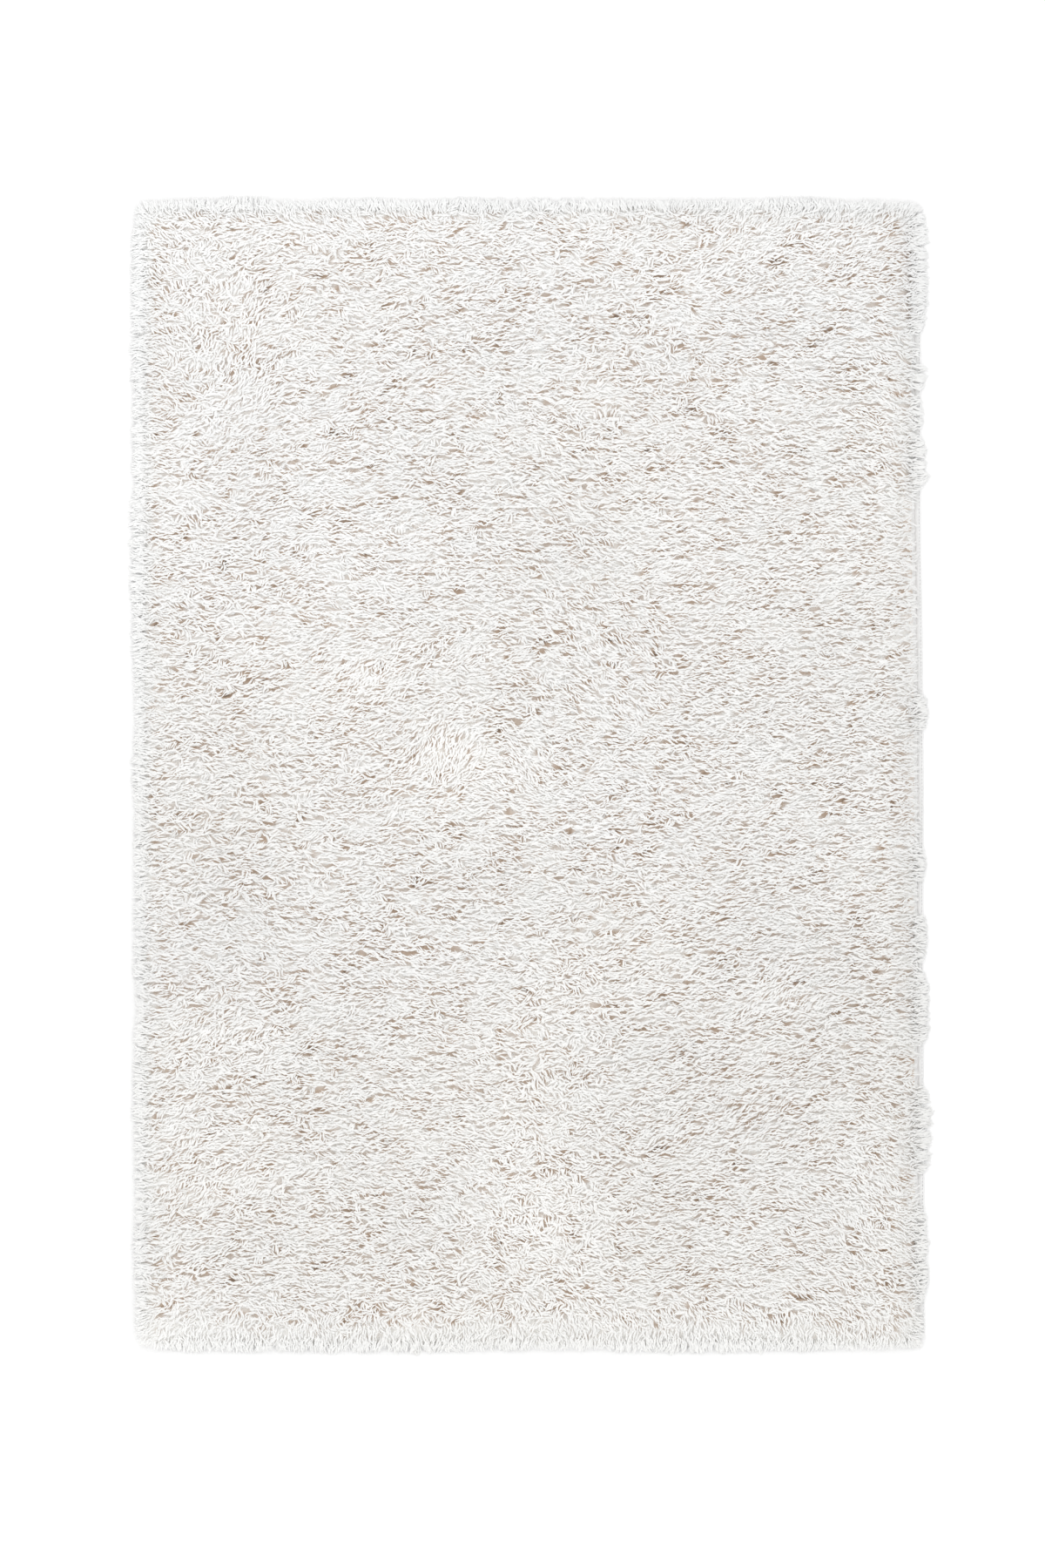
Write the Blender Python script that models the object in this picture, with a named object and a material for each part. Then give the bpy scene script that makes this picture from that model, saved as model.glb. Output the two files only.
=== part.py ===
"""A shag rug of 1.6 x 2.3 m, lying flat with its pile up.

It has four pieces: the ground cloth, an overlocked binding on each long edge, and the pile, which is
one lumpy slab with a row of pointed locks round its rim.  X runs across the rug, Y along it and Z up,
and the origin is on the floor, under the middle of the cloth.  All sizes are in metres.
"""

import math
import random
from collections import namedtuple

import bmesh
import bpy
from mathutils import Matrix, Vector

GAP = 0.0003  # between pieces that touch
SHARP_ANGLE = math.radians(40)

# Ground cloth, cut with round corners.  Its long edges are pressed thin, to sit inside the bindings.
CLOTH_WIDTH = 1.580
CLOTH_LENGTH = 2.300
CLOTH_THICKNESS = 0.0035
CLOTH_CORNER = 0.018
PRESSED_THICKNESS = 0.0013
CORNER_STEPS = 5

# Overlocked binding: a C that wraps the pressed edge, with a round outer side.
BINDING_WIDTH = 0.012
BINDING_HEIGHT = CLOTH_THICKNESS
BINDING_HOLD = 0.010  # how much of its width takes the pressed edge in
ROUND_STEPS = 6

# Pile slab.  Its rim stands past the cloth on three sides, and stops short of the right binding.
PILE_BASE = CLOTH_THICKNESS + GAP
UNDERSIDE_RISE = 0.0003  # from the rim to the middle, so that the fan of faces below isn't flat
PILE_TOP = 0.032
RIM_TOP = 0.021
RIM_FALL = 0.085  # distance from the rim over which the top comes down to it
RIM_CORNER = 0.026
COLUMNS = 42
ROWS = 74
RIM_OUT = {"left": 0.004, "bottom": 0.003, "top": 0.003, "right": -0.0135}

# Lumps of the pile: rows across the rug, slow swells, and each point's own lift and shift.
ROW_PITCH, ROW_LIFT = 0.094, 0.0040
ROW_WANDER, ROW_WANDER_PITCH = 1.7, 0.41
SWELL_PITCH, SWELL_LIFT = 0.53, 0.0020
POINT_LIFT, POINT_SHIFT = 0.0042, 0.0070
SEED = 29

# A lock goes from its root on the rim to a shoulder and a tip.
SHOULDER_WIDTH, TIP_WIDTH = 0.70, 0.24  # shares of the root's width
SHOULDER_HEIGHT, TIP_HEIGHT = 0.62, 0.26  # shares of the root's height
CLEAR_OF_EDGE = 0.0025  # past the cloth, where a lock may go down to the floor
SHORTEST_LOCK, SHORTEST_TIP = 0.004, 0.0035
LENGTH_SPREAD, LEAN_SPREAD, SHOULDER_LEAN = 0.14, 0.24, 0.40
FAN = 0.075  # distance from a corner within which the locks fan out
Ring = namedtuple("Ring", "middle half low high")

# How far the right edge of the cloth lies out from a straight line.
Drift = namedtuple("Drift", "along out")
EDGE_DRIFT = (
    Drift(-1.150, 0.0050),
    Drift(-0.830, 0.0035),
    Drift(-0.370, 0.0018),
    Drift(-0.020, 0.0025),
    Drift(0.280, 0.0000),
    Drift(0.510, -0.0035),
    Drift(1.150, -0.0035),
)

# How far the locks reach past the edge of the cloth, along three sides.
Reach = namedtuple("Reach", "along out")
REACH = {
    "left": (
        Reach(-1.15, 0.017),
        Reach(-0.95, 0.023),
        Reach(-0.85, 0.018),
        Reach(-0.70, 0.023),
        Reach(-0.55, 0.023),
        Reach(-0.48, 0.016),
        Reach(-0.39, 0.023),
        Reach(-0.10, 0.019),
        Reach(0.02, 0.025),
        Reach(0.11, 0.018),
        Reach(0.26, 0.025),
        Reach(0.41, 0.033),
        Reach(0.49, 0.033),
        Reach(0.58, 0.025),
        Reach(0.86, 0.028),
        Reach(1.06, 0.028),
        Reach(1.15, 0.019),
    ),
    "top": (
        Reach(-0.79, 0.014),
        Reach(-0.58, 0.025),
        Reach(-0.42, 0.018),
        Reach(-0.30, 0.021),
        Reach(-0.23, 0.015),
        Reach(-0.12, 0.025),
        Reach(-0.02, 0.019),
        Reach(0.17, 0.023),
        Reach(0.23, 0.015),
        Reach(0.55, 0.025),
        Reach(0.79, 0.013),
    ),
    "bottom": (
        Reach(-0.79, 0.012),
        Reach(-0.70, 0.021),
        Reach(-0.23, 0.023),
        Reach(0.02, 0.014),
        Reach(0.17, 0.021),
        Reach(0.51, 0.025),
        Reach(0.62, 0.014),
        Reach(0.79, 0.013),
    ),
}

# The tufts that hang over the right binding.  Between them it lies bare.
Tuft = namedtuple("Tuft", "start end out")
RIGHT_TUFTS = (
    Tuft(-1.160, -1.084, 0.004),
    Tuft(-1.072, -0.864, 0.014),
    Tuft(-0.807, -0.626, 0.025),
    Tuft(-0.547, -0.388, 0.020),
    Tuft(-0.379, -0.282, 0.014),
    Tuft(-0.220, -0.141, 0.010),
    Tuft(0.088, 0.167, 0.019),
    Tuft(0.573, 0.688, 0.020),
    Tuft(0.700, 0.770, 0.009),
    Tuft(0.781, 0.832, 0.024),
    Tuft(0.840, 0.870, 0.005),
    Tuft(0.890, 1.160, 0.025),
)

Finish = namedtuple("Finish", "colour roughness")
FINISHES = {
    "backing": Finish((0.70, 0.66, 0.58), 0.95),
    "binding": Finish((0.84, 0.83, 0.81), 0.80),
    "pile": Finish((0.80, 0.78, 0.75), 0.90),
}


def clear_scene():
    """Removes whatever the scene holds."""
    for obj in list(bpy.data.objects):
        bpy.data.objects.remove(obj)


def material(name):
    """The material for one kind of yarn or cloth."""
    finish = FINISHES[name]
    mat = bpy.data.materials.new(name)
    mat.use_nodes = True
    shader = mat.node_tree.nodes["Principled BSDF"]
    shader.inputs["Base Color"].default_value = (*finish.colour, 1.0)
    shader.inputs["Roughness"].default_value = finish.roughness
    shader.inputs["Metallic"].default_value = 0.0
    return mat


def add_object(name, bm, finish, collection):
    """A named object from a bmesh, with its faces turned out."""
    bmesh.ops.recalc_face_normals(bm, faces=bm.faces)
    mesh = bpy.data.meshes.new(name)
    bm.to_mesh(mesh)
    bm.free()
    mesh.materials.append(material(finish))
    mesh.shade_smooth()
    mesh.set_sharp_from_angle(angle=SHARP_ANGLE)
    obj = bpy.data.objects.new(name, mesh)
    collection.objects.link(obj)
    return obj


def clamp(value, low, high):
    """The value, or the limit that it passes."""
    return max(low, min(high, value))


def between(rows, along):
    """The out column of a table, read between its rows."""
    if along <= rows[0].along:
        return rows[0].out
    for low, high in zip(rows, rows[1:]):
        if along <= high.along:
            share = (along - low.along) / (high.along - low.along)
            return low.out + share * (high.out - low.out)
    return rows[-1].out


def arc(centre, radius, start, turn, steps):
    """Points on an arc, with its angles in degrees."""
    angles = (math.radians(start + turn * i / steps) for i in range(steps + 1))
    return [(centre[0] + radius * math.cos(a), centre[1] + radius * math.sin(a)) for a in angles]


def filled_outline(points, depth, matrix):
    """A bmesh of a filled 2D outline, extruded by depth about its plane and then placed by matrix."""
    curve = bpy.data.curves.new("outline", "CURVE")
    curve.dimensions = "2D"
    curve.fill_mode = "BOTH"
    curve.extrude = depth / 2
    spline = curve.splines.new("POLY")
    spline.points.add(len(points) - 1)
    for point, (x, y) in zip(spline.points, points):
        point.co = (x, y, 0.0, 1.0)
    spline.use_cyclic_u = True
    obj = bpy.data.objects.new("outline", curve)
    bpy.context.scene.collection.objects.link(obj)
    bpy.context.view_layer.update()
    mesh = bpy.data.meshes.new_from_object(obj.evaluated_get(bpy.context.evaluated_depsgraph_get()))
    bpy.data.objects.remove(obj)
    bm = bmesh.new()
    bm.from_mesh(mesh)
    bpy.data.meshes.remove(mesh)
    bmesh.ops.remove_doubles(bm, verts=bm.verts, dist=1e-6)
    bmesh.ops.transform(bm, matrix=matrix, verts=bm.verts)
    bmesh.ops.recalc_face_normals(bm, faces=bm.faces)
    return bm


def follow_edge(bm):
    """Gives a straight piece the drift of the rug's right edge, which fades out towards the left edge."""
    for vert in bm.verts:
        share = vert.co.x / CLOTH_WIDTH + 0.5
        vert.co.x += share * between(EDGE_DRIFT, vert.co.y)


def cut_at_drift(bm):
    """Cuts a long piece across at the rows of the drift, so that it can follow the edge."""
    for row in EDGE_DRIFT[1:-1]:
        parts = bm.verts[:] + bm.edges[:] + bm.faces[:]
        bmesh.ops.bisect_plane(bm, geom=parts, plane_co=(0, row.along, 0), plane_no=(0, 1, 0))


def round_rectangle(width, length, corner):
    """Outline of a rectangle with round corners, anticlockwise from its lower right."""
    x, y = width / 2 - corner, length / 2 - corner
    points = []
    for quarter, centre in enumerate(((x, -y), (x, y), (-x, y), (-x, -y))):
        points += arc(centre, corner, 90 * quarter - 90, 90, CORNER_STEPS)
    return points


def joined(first, second):
    """The union of two closed bmeshes, as one."""
    pair = []
    for bm in (first, second):
        mesh = bpy.data.meshes.new("part")
        bm.to_mesh(mesh)
        bm.free()
        obj = bpy.data.objects.new("part", mesh)
        bpy.context.scene.collection.objects.link(obj)
        pair.append(obj)
    union = pair[0].modifiers.new("union", "BOOLEAN")
    union.operation = "UNION"
    union.object = pair[1]
    graph = bpy.context.evaluated_depsgraph_get()
    mesh = bpy.data.meshes.new_from_object(pair[0].evaluated_get(graph))
    bm = bmesh.new()
    bm.from_mesh(mesh)
    bpy.data.meshes.remove(mesh)
    for obj in pair:
        bpy.data.objects.remove(obj)
    return bm


def make_backing(collection):
    """The ground cloth: a flat sheet, with a thin pressed strip that runs into both bindings."""
    width = CLOTH_WIDTH - 2 * (BINDING_WIDTH + GAP)
    to_middle = Matrix.Translation((0, 0, CLOTH_THICKNESS / 2))
    sheet = filled_outline(round_rectangle(width, CLOTH_LENGTH, CLOTH_CORNER), CLOTH_THICKNESS, to_middle)
    x = CLOTH_WIDTH / 2 - BINDING_WIDTH + BINDING_HOLD
    y = CLOTH_LENGTH / 2 - CLOTH_CORNER
    pressed = filled_outline([(x, -y), (x, y), (-x, y), (-x, -y)], PRESSED_THICKNESS, to_middle)
    bm = joined(sheet, pressed)
    cut_at_drift(bm)
    follow_edge(bm)
    return add_object("backing", bm, "backing", collection)


def binding_profile():
    """The C of a binding: x from its inner edge outwards, y up from the floor."""
    radius = BINDING_HEIGHT / 2
    slot_low = (BINDING_HEIGHT - PRESSED_THICKNESS) / 2 - GAP
    slot_high = BINDING_HEIGHT - slot_low
    slot_end = BINDING_HOLD + GAP
    side = arc((BINDING_WIDTH - radius, radius), radius, -90, 180, ROUND_STEPS)
    slot = [(0, slot_high), (slot_end, slot_high), (slot_end, slot_low), (0, slot_low)]
    return [(0, 0), *side, (0, BINDING_HEIGHT), *slot]


def make_binding(name, side, collection):
    """The binding of one long edge: side is 1 on the right and -1 on the left."""
    inner = CLOTH_WIDTH / 2 - BINDING_WIDTH
    profile = [(side * (inner + x), z) for x, z in binding_profile()]
    stand_up = Matrix.Rotation(math.radians(90), 4, "X")
    bm = filled_outline(profile, CLOTH_LENGTH - 2 * CLOTH_CORNER, stand_up)
    cut_at_drift(bm)
    follow_edge(bm)
    return add_object(name, bm, "binding", collection)


def rim_point(u, v):
    """The slab's point for u across and v along, both from -1 to 1, with the corners made round."""
    high = Vector((CLOTH_WIDTH / 2 + RIM_OUT["right"], CLOTH_LENGTH / 2 + RIM_OUT["top"]))
    low = Vector((-CLOTH_WIDTH / 2 - RIM_OUT["left"], -CLOTH_LENGTH / 2 - RIM_OUT["bottom"]))
    point = (low + high) / 2 + Vector((u, v)) * (high - low) / 2
    inner = Vector([clamp(point[i], low[i] + RIM_CORNER, high[i] - RIM_CORNER) for i in range(2)])
    past = point - inner
    if past.x and past.y:
        past *= max(abs(past.x), abs(past.y)) / past.length
    return inner + past


def pile_height(x, y, from_rim):
    """Height of the slab's top: rows that wander, slow swells, and a round fall to the rim."""
    wander = ROW_WANDER * math.sin(math.tau * x / ROW_WANDER_PITCH)
    rows = ROW_LIFT * math.sin(math.tau * y / ROW_PITCH + wander)
    swell = SWELL_LIFT * math.sin(math.tau * (x + 0.6 * y) / SWELL_PITCH)
    share = min(from_rim / RIM_FALL, 1.0)
    fall = math.sqrt(share * (2 - share))
    return RIM_TOP + fall * (PILE_TOP + rows + swell - RIM_TOP)


def slab_top(rng):
    """The top of the slab, as an open grid whose points are lifted and shifted."""
    bm = bmesh.new()
    bmesh.ops.create_grid(bm, x_segments=COLUMNS, y_segments=ROWS, size=1.0)
    width = CLOTH_WIDTH + RIM_OUT["left"] + RIM_OUT["right"]
    length = CLOTH_LENGTH + RIM_OUT["bottom"] + RIM_OUT["top"]
    for vert in bm.verts:
        u, v = vert.co.x, vert.co.y
        point = rim_point(u, v)
        from_rim = min((1 - abs(u)) * width, (1 - abs(v)) * length) / 2
        shift = min(from_rim, POINT_SHIFT)
        point += Vector((rng.uniform(-shift, shift), rng.uniform(-shift, shift)))
        lift = rng.uniform(-POINT_LIFT, POINT_LIFT)
        vert.co = (*point, pile_height(*point, from_rim) + lift)
    return bm


def close_below(bm):
    """Carries the grid's border down to the cloth and closes it there with a fan of faces, which rises a
    little to its middle.

    Returns the wall's faces in the order of their places, so that each run gives the same locks.
    """
    border = [edge for edge in bm.edges if edge.is_boundary]
    made = bmesh.ops.extrude_edge_only(bm, edges=border)["geom"]
    walls = [part for part in made if isinstance(part, bmesh.types.BMFace)]
    for part in made:
        if isinstance(part, bmesh.types.BMVert):
            part.co.z = PILE_BASE
    below = bmesh.ops.edgeloop_fill(bm, edges=[edge for edge in bm.edges if edge.is_boundary])["faces"]
    middle = bmesh.ops.poke(bm, faces=below, center_mode="BOUNDS")["verts"][0]
    middle.co.z += UNDERSIDE_RISE
    return sorted(walls, key=lambda face: tuple(face.calc_center_median()))


def side_of(point):
    """The side of the rug on whose rim a point lies."""
    past = {
        "left": -point.x - CLOTH_WIDTH / 2,
        "right": point.x - CLOTH_WIDTH / 2,
        "bottom": -point.y - CLOTH_LENGTH / 2,
        "top": point.y - CLOTH_LENGTH / 2,
    }
    return max(past, key=lambda side: past[side] - RIM_OUT[side])


def is_clear(point):
    """Whether a point lies outside the cloth by enough to go down past it."""
    return max(abs(point.x) - CLOTH_WIDTH / 2, abs(point.y) - CLOTH_LENGTH / 2) >= CLEAR_OF_EDGE


def reach_at(side, along):
    """How far the locks reach past the cloth at one place, or the rim itself where no lock grows."""
    if side != "right":
        return between(REACH[side], along)
    return max((t.out for t in RIGHT_TUFTS if t.start < along < t.end), default=RIM_OUT[side])


def outward_from(point):
    """The level direction in which the rim faces, fanned out round a corner."""
    x, y = CLOTH_WIDTH / 2 - FAN, CLOTH_LENGTH / 2 - FAN
    inner = Vector((clamp(point.x, -x, x), clamp(point.y, -y, y), point.z))
    return (point - inner).normalized()


def pull_out(bm, face, ring):
    """Extrudes a lock's last face and sets its four points to the next ring.  Returns the new face."""
    face = bmesh.ops.extrude_discrete_faces(bm, faces=[face])["faces"][0]
    old = face.calc_center_median()
    for vert in face.verts:
        side = math.copysign(1.0, (vert.co - old).dot(ring.half))
        height = ring.high if vert.co.z > old.z else ring.low
        vert.co = ring.middle + side * ring.half
        vert.co.z = height
    return face


def grow_lock(bm, wall, rng):
    """Draws one face of the rim out over a shoulder to a tip.

    Each ring stays level over the cloth and its binding, and goes down to the floor once the ring
    before it is clear of them.
    """
    root = wall.calc_center_median()
    outward = outward_from(root)
    across = Vector((-outward.y, outward.x, 0.0))
    side = side_of(root)
    reach = reach_at(side, root.y if side in ("left", "right") else root.x)
    length = (reach - RIM_OUT[side]) * (1 + rng.uniform(-LENGTH_SPREAD, LENGTH_SPREAD))
    lean = length * rng.uniform(-LEAN_SPREAD, LEAN_SPREAD)
    if length < SHORTEST_LOCK:
        return
    spread = [(vert.co - root).dot(across) for vert in wall.verts]
    width = max(spread) - min(spread)
    height = max(vert.co.z for vert in wall.verts) - PILE_BASE
    shoulder = max(length / 2, CLEAR_OF_EDGE - RIM_OUT[side])
    if shoulder > length - SHORTEST_TIP:
        shoulder = length / 2
    face, clear = wall, is_clear(root)
    for out, shift, share, rise in (
        (shoulder, lean * SHOULDER_LEAN, SHOULDER_WIDTH, SHOULDER_HEIGHT),
        (length, lean, TIP_WIDTH, TIP_HEIGHT),
    ):
        middle = root + out * outward + shift * across
        half = share * width / 2 * across
        low = 0.0 if clear else PILE_BASE
        face = pull_out(bm, face, Ring(middle, half, low, low + rise * height))
        clear = is_clear(middle - half) and is_clear(middle + half)


def make_pile(collection):
    """The pile: the lumpy slab, with a lock on each face of its rim."""
    rng = random.Random(SEED)
    bm = slab_top(rng)
    for wall in close_below(bm):
        grow_lock(bm, wall, rng)
    follow_edge(bm)
    return add_object("pile", bm, "pile", collection)


def main():
    clear_scene()
    rug = bpy.data.collections.new("shag_rug")
    bpy.context.scene.collection.children.link(rug)
    make_backing(rug)
    make_binding("binding_left", -1, rug)
    make_binding("binding_right", 1, rug)
    make_pile(rug)


if __name__ == "__main__":
    main()
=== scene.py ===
"""The dressed shag rug: ground cloth, overlocked bindings and a deep pile of separate strands.

The rug lies flat with its pile up.  X runs across it, Y along it and Z up, in metres, and the floor is
at Z = 0.  The pile is gathered in locks that lie over one another like small waves, mostly across the
rug, and hang out over its rim.
"""

import enum
import logging
import math
from dataclasses import dataclass, field
from typing import NamedTuple, TypeVar

import bpy
import numpy as np
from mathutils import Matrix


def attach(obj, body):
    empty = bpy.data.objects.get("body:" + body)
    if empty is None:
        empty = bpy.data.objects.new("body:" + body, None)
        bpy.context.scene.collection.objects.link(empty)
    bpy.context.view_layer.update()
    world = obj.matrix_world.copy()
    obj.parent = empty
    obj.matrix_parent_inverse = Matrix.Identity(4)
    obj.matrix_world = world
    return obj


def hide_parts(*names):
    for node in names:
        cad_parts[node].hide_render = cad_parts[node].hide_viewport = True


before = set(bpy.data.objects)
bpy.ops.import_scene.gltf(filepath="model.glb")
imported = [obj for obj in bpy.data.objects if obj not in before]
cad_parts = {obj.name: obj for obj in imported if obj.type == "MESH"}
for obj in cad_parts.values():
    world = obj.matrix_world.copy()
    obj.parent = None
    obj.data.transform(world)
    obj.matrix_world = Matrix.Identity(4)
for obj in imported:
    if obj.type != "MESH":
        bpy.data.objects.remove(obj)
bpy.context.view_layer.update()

LOG = logging.getLogger("shag_rug")
Points = np.ndarray
Triangles = np.ndarray
Socket = bpy.types.NodeSocket
Pair = tuple[float, float]
Colour = Trio = tuple[float, float, float]
Arrays = TypeVar("Arrays", bound=tuple)
LEAST = 1e-9  # stands in for a length of 0 where something is divided by it


class Side(enum.Enum):
    """A side of the rug, as it lies in the picture."""

    LEFT = "left"
    RIGHT = "right"
    BOTTOM = "bottom"
    TOP = "top"


class Place(NamedTuple):
    """One row of a table along an edge: how far something lies out at that place."""

    along: float
    out: float


class Tuft(NamedTuple):
    """A run of locks that hangs over the right binding."""

    start: float
    end: float
    out: float


class LayPatch(NamedTuple):
    """A patch where the pile lies another way than across the rug.

    Heading and spread are in degrees.  Tone is above 0 where the pile is paler, and gaps is above 0
    where more of its depth shows.
    """

    x: float
    y: float
    wide: float
    high: float
    heading: float
    spread: float
    tone: float
    gaps: float


def table(kind: type[Arrays], *rows: tuple[float, ...]) -> tuple[Arrays, ...]:
    """Makes a table of one kind of row from plain numbers."""
    return tuple(kind(*row) for row in rows)


EDGE_DRIFT = table(
    Place,
    (-1.150, 0.0050), (-0.830, 0.0035), (-0.370, 0.0018), (-0.020, 0.0025), (0.280, 0.0000),
    (0.510, -0.0035), (1.150, -0.0035),
)
REACH = {
    Side.LEFT: table(
        Place,
        (-1.15, 0.017), (-0.95, 0.023), (-0.85, 0.018), (-0.70, 0.023), (-0.55, 0.023), (-0.48, 0.016),
        (-0.39, 0.023), (-0.10, 0.019), (0.02, 0.025), (0.11, 0.018), (0.26, 0.025), (0.41, 0.033),
        (0.49, 0.033), (0.58, 0.025), (0.86, 0.028), (1.06, 0.028), (1.15, 0.019),
    ),
    Side.TOP: table(
        Place,
        (-0.79, 0.014), (-0.58, 0.025), (-0.42, 0.018), (-0.30, 0.021), (-0.23, 0.015), (-0.12, 0.025),
        (-0.02, 0.019), (0.17, 0.023), (0.23, 0.015), (0.55, 0.025), (0.79, 0.013),
    ),
    Side.BOTTOM: table(
        Place,
        (-0.79, 0.012), (-0.70, 0.021), (-0.23, 0.023), (0.02, 0.014), (0.17, 0.021), (0.51, 0.025),
        (0.62, 0.014), (0.79, 0.013),
    ),
}
CORNER_ROUND = {  # radius of the pile's outline where each side starts and where it ends
    Side.LEFT: (0.036, 0.018),
    Side.RIGHT: (0.018, 0.016),
    Side.BOTTOM: (0.036, 0.018),
    Side.TOP: (0.018, 0.016),
}
RIGHT_TUFTS = table(
    Tuft,
    (-1.160, -1.084, 0.004), (-1.072, -0.864, 0.014), (-0.807, -0.626, 0.025), (-0.547, -0.388, 0.020),
    (-0.379, -0.282, 0.014), (-0.220, -0.141, 0.010), (0.088, 0.167, 0.019), (0.573, 0.688, 0.020),
    (0.589, 0.612, 0.030), (0.700, 0.770, 0.009), (0.781, 0.832, 0.024), (0.840, 0.870, 0.005),
    (0.890, 1.160, 0.025),
)
LAY_PATCHES = table(
    LayPatch,
    (-0.72, 0.96, 0.10, 0.24, -28, 24, -0.4, -0.7),
    (-0.60, 0.88, 0.09, 0.20, 62, 20, 0.1, -0.7),
    (0.48, 1.07, 0.26, 0.09, 22, 8, 0.2, -0.5),
    (0.60, 0.90, 0.22, 0.09, -4, 0, -0.5, 0.7),
    (0.73, 0.72, 0.07, 0.20, -24, 10, 0.1, 0.0),
    (-0.17, 0.05, 0.085, 0.075, 74, 10, 2.0, -1.0),
    (-0.03, 0.02, 0.06, 0.06, -48, 16, 0.6, -0.4),
    (-0.18, 0.25, 0.16, 0.05, 24, 10, 0.7, -0.5),
    (0.08, 0.40, 0.10, 0.26, -18, 12, -0.2, 1.1),
    (0.20, 0.22, 0.10, 0.12, -26, 14, 0.1, 0.2),
    (-0.62, -0.53, 0.13, 0.07, 24, 12, 0.9, -0.8),
    (-0.62, -0.84, 0.11, 0.06, 20, 12, 0.9, -0.8),
    (-0.73, -0.80, 0.08, 0.22, 30, 16, 0.3, -0.2),
    (0.03, -0.60, 0.11, 0.22, -10, 34, 0.7, -0.6),
    (0.02, -0.90, 0.15, 0.13, -24, 34, 1.5, -0.9),
    (0.42, -0.68, 0.22, 0.12, 18, 4, -0.4, 0.5),
    (0.70, -0.88, 0.13, 0.20, -42, 18, 0.5, -0.6),
    (0.49, -0.44, 0.08, 0.05, 16, 12, 1.4, -1.3),
    (-0.33, 0.20, 0.08, 0.05, 40, 12, 1.4, -1.0),
    (-0.03, 0.60, 0.10, 0.04, 0, 2, -0.4, 0.9),
    (0.33, -0.14, 0.08, 0.05, -10, 4, -0.3, 0.8),
    (0.12, 0.87, 0.30, 0.03, 5, 0, -0.3, 0.8),
    (0.58, -0.40, 0.22, 0.16, 10, 2, -0.5, 0.6),
    (-0.42, -0.18, 0.26, 0.18, -2, 0, -0.3, 0.5),
    (-0.66, -0.22, 0.14, 0.30, 2, 2, -0.9, 0.6),
    (0.00, 1.08, 0.90, 0.10, 0, 4, 0.2, -0.3),
    (0.00, -1.04, 0.90, 0.11, 0, 4, 0.4, -0.4),
)


def table_at(rows: tuple[Place, ...], along: Points) -> Points:
    """Reads a table at places along its edge, straight between its rows."""
    at, out = np.array(rows).T
    return np.interp(along, at, out)


def ease(share: Points) -> Points:
    """A curve from 0 to 1 with level ends: 3 s^2 - 2 s^3, with s held between 0 and 1."""
    held = np.clip(share, 0.0, 1.0)
    return held * held * (3.0 - 2.0 * held)


@dataclass(frozen=True)
class Ripple:
    """A smooth random field: random numbers on a square net, joined by eased curves."""

    pitch: float
    seed: int
    stretch: float = 1.0  # how much longer it is across the rug than along it
    net: int = 97

    def at(self, x: Points, y: Points) -> Points:
        """Reads the field.

        Args:
            x: Places across the rug.
            y: Places along the rug.

        Returns:
            Values from -1 to 1.
        """
        corner = np.random.default_rng(self.seed).uniform(-1.0, 1.0, (self.net, self.net))
        u, v = x / (self.pitch * self.stretch) + self.net / 3, y / self.pitch + self.net / 3
        i, j = np.floor(u).astype(int), np.floor(v).astype(int)
        s, t = ease(u - i), ease(v - j)
        i0, i1, j0, j1 = i % self.net, (i + 1) % self.net, j % self.net, (j + 1) % self.net
        low = corner[i0, j0] * (1 - s) + corner[i1, j0] * s
        high = corner[i0, j1] * (1 - s) + corner[i1, j1] * s
        return low * (1 - t) + high * t


def rounded_net(columns: int, rows: int, half: Pair, corner: float) -> tuple[Points, Points]:
    """A net of points over a rectangle with round corners, centred at 0.

    A point past a corner's centre moves in until it lies on an arc round that centre.

    Args:
        columns: Points across.
        rows: Points along.
        half: Half the rectangle's width and length.
        corner: Radius of its corners.

    Returns:
        x and y, each with rows by columns entries.
    """
    u, v = np.meshgrid(np.linspace(-1, 1, columns), np.linspace(-1, 1, rows))
    x, y = u * half[0], v * half[1]
    inner_x = np.clip(x, corner - half[0], half[0] - corner)
    inner_y = np.clip(y, corner - half[1], half[1] - corner)
    dx, dy = x - inner_x, y - inner_y
    shrink = np.maximum(np.abs(dx), np.abs(dy)) / np.maximum(np.hypot(dx, dy), LEAST)
    shrink = np.where((dx != 0) & (dy != 0), shrink, 1.0)
    return inner_x + shrink * dx, inner_y + shrink * dy


def net_faces(number: Triangles) -> Triangles:
    """Splits each cell of a net into two triangles, counter-clockwise as columns and rows run.

    Args:
        number: The points' numbers, in rows and columns.

    Returns:
        The first triangle of each cell, and then the second one of each.
    """
    a, b = number[:-1, :-1].ravel(), number[:-1, 1:].ravel()
    c, d = number[1:, 1:].ravel(), number[1:, :-1].ravel()
    return np.concatenate([np.stack([a, b, c], axis=1), np.stack([a, c, d], axis=1)])


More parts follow.
